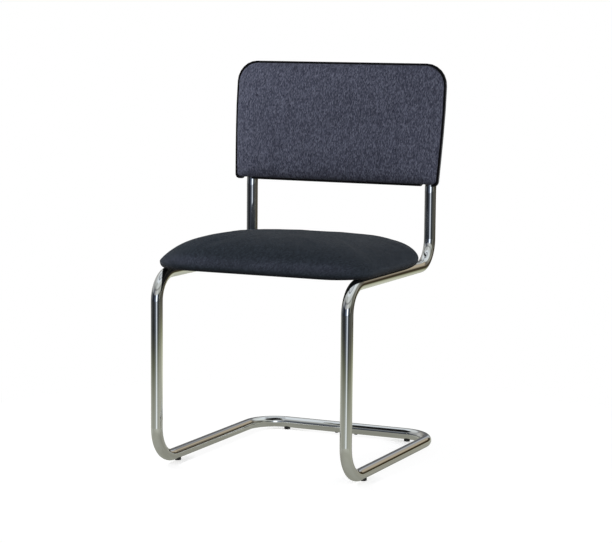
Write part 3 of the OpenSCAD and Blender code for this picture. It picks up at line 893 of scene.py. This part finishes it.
def mirrored_room(tree, axes):
    """What the metal sees of the room in each direction."""
    height = axes["Z"]
    turn = compass(tree, axes["X"], axes["Y"])
    walls = room_walls(tree, turn)
    upper = upper_room(tree, turn)
    ceiling = ramp(tree, height, [
        (0.52, (0.20, 0.205, 0.21)),
        (0.62, (0.68, 0.71, 0.72)),
        (0.80, (0.68, 0.71, 0.72)),
        (0.84, (0.74, 0.79, 0.84)),
        (0.91, (0.74, 0.79, 0.84)),
        (0.94, (0.16, 0.17, 0.18)),
        (0.965, (0.58, 0.61, 0.64)),
        (1.0, (0.58, 0.61, 0.64)),
    ])
    ceiling = mix_colour(tree, ramp(tree, height, [(0.80, 1.0), (0.86, 0.0)]), ceiling,
                         tinted(tree, ceiling, ceiling_shade(tree, turn)))
    behind = ramp(tree, math_node(tree, "MULTIPLY_ADD", axes["Y"], 0.5, 0.5),
                  [(0.50, 0.0), (0.62, 1.0)])
    low_front = mix_colour(tree, ramp(tree, height, [(0.22, 0.0), (0.29, 1.0)]), walls, upper)
    low_rear = mix_colour(tree, ramp(tree, height, [(0.03, 0.0), (0.09, 1.0)]), walls, upper)
    low = mix_colour(tree, behind, low_front, low_rear)
    return mix_colour(tree, ramp(tree, height, [(0.46, 0.0), (0.54, 1.0)]), low, ceiling)


def make_world():
    """White for the camera, soft light for the fabric, and a room for the metal to mirror."""
    world = bpy.data.worlds.new("studio")
    bpy.context.scene.world = world
    tree = tree_of(world)
    rays = tree.nodes.new("ShaderNodeLightPath").outputs
    direction = tree.nodes.new("ShaderNodeTexCoord").outputs["Generated"]
    room = mirrored_room(tree, axes_of(tree, direction))
    soft = add(tree, "Background", Color=(0.95, 0.97, 1.0), Strength=SOFT_LIGHT)
    white = add(tree, "Background", Color=1.0, Strength=1.0)
    mirrored = add(tree, "Background", Color=room, Strength=1.0)
    shader = either(tree, rays["Is Camera Ray"], soft.outputs[0], white.outputs[0])
    shader = either(tree, rays["Is Glossy Ray"], shader, mirrored.outputs[0])
    add(tree, "OutputWorld", Surface=shader)


def make_lamp(name, position, target, size, power):
    """Area lamp that the metal doesn't mirror."""
    data = bpy.data.lights.new(name, "AREA")
    data.shape = "RECTANGLE"
    data.size, data.size_y = size
    data.energy = power
    lamp = bpy.data.objects.new(name, data)
    bpy.context.scene.collection.objects.link(lamp)
    lamp.location = position
    lamp.rotation_euler = (Vector(target) - Vector(position)).to_track_quat("-Z", "Y").to_euler()
    lamp.visible_glossy = False


def make_camera():
    azimuth = math.radians(CAMERA_AZIMUTH)
    elevation = math.radians(CAMERA_ELEVATION)
    roll = math.radians(CAMERA_ROLL)
    back = Vector((math.sin(azimuth) * math.cos(elevation),
                   -math.cos(azimuth) * math.cos(elevation),
                   math.sin(elevation)))
    level = Vector((math.cos(azimuth), math.sin(azimuth), 0.0))
    upright = back.cross(level)
    right = level * math.cos(roll) + upright * math.sin(roll)
    up = upright * math.cos(roll) - level * math.sin(roll)
    data = bpy.data.cameras.new("camera")
    data.lens = CAMERA_LENS
    data.sensor_width = SENSOR_WIDTH
    data.sensor_fit = "HORIZONTAL"
    camera = bpy.data.objects.new("camera", data)
    bpy.context.scene.collection.objects.link(camera)
    turn = Matrix((right, up, back)).transposed().to_4x4()
    camera.matrix_world = Matrix.Translation(CAMERA_TARGET + back * CAMERA_DISTANCE) @ turn
    bpy.context.scene.camera = camera


make_camera()
make_world()
make_floor()
make_screen()
for lamp in LAMPS:
    make_lamp(*lamp)
bpy.context.scene.view_settings.view_transform = "Standard"

FINISHES = {
    "chromed_tube": chrome("chromed_tube"),
    "plain_steel": bright_steel("plain_steel"),
    "screw_steel": bright_steel("screw_steel"),
    "black_steel": painted("black_steel", (0.012, 0.012, 0.012), rough=0.35,
                           grain_size=0.0006, grain_depth=0.00004),
    "plug_plastic": painted("plug_plastic", (0.30, 0.31, 0.31), rough=0.30,
                            grain_size=0.0008, grain_depth=0.00004, lighter=1.15),
    "glide_plastic": painted("glide_plastic", (0.010, 0.010, 0.011), rough=0.5,
                             grain_size=0.0008, grain_depth=0.00006),
    "shell_plastic": shell_plastic("shell_plastic"),
    "plywood": plywood("plywood"),
    "foam": painted("foam", (0.72, 0.62, 0.36), rough=0.9,
                    grain_size=0.002, grain_depth=0.0006, lighter=1.2),
    "seat_fabric": cloth(
        "seat_fabric",
        shades=((0.011, 0.0142, 0.019), (0.0195, 0.025, 0.0335), (0.0315, 0.040, 0.0525)),
        sheen=0.07, fleck=(0.0030, 0.0030), contrast=0.60, streaks=0.02, shaded_span=SEAT_LOW_BAND,
        # Painted shade, darker towards the seat's lower edge
        painted_shade_stops=[(0.0, 0.12), (0.08, 0.22), (0.15, 0.50), (0.25, 0.85), (0.33, 1.0)],
        # Painted light band low on the seat's front: these stops lighten the cloth up to 1.9 times
        front_light_stops=[(0.20, 1.0), (0.38, (1.50, 1.34, 1.40)), (0.50, (1.90, 1.68, 1.78)),
                (0.62, (1.90, 1.70, 1.80)), (0.78, (1.40, 1.32, 1.36)), (0.95, 1.0)]),
    "back_fabric": cloth(
        "back_fabric",
        shades=((0.020, 0.0215, 0.034), (0.059, 0.063, 0.092), (0.136, 0.1435, 0.191)),
        sheen=0.04, fleck=(0.0014, 0.0038), contrast=0.34, streaks=0.10, shaded_span=BACK_LOW_BAND,
        # Painted shade, darker towards the back pad's lower edge
        painted_shade_stops=[(0.0, 0.35), (0.14, 0.48), (0.28, 0.60), (0.42, 0.74), (0.57, 0.85),
                   (1.0, 1.0)]),
    "dust_cloth": painted("dust_cloth", (0.006, 0.006, 0.0065), rough=0.9,
                          grain_size=0.0012, grain_depth=0.0002, specular=0.1),
}
for part in frame["record"]["subparts"]:
    node = NODES[part["node"]]
    node.data.materials.clear()
    node.data.materials.append(FINISHES[part["material_slot"]])

seat_pad = make_seat_pad()
seat_pad.data.materials.append(FINISHES["seat_fabric"])
back_pad = make_back_pad()
back_pad.data.materials.append(FINISHES["back_fabric"])
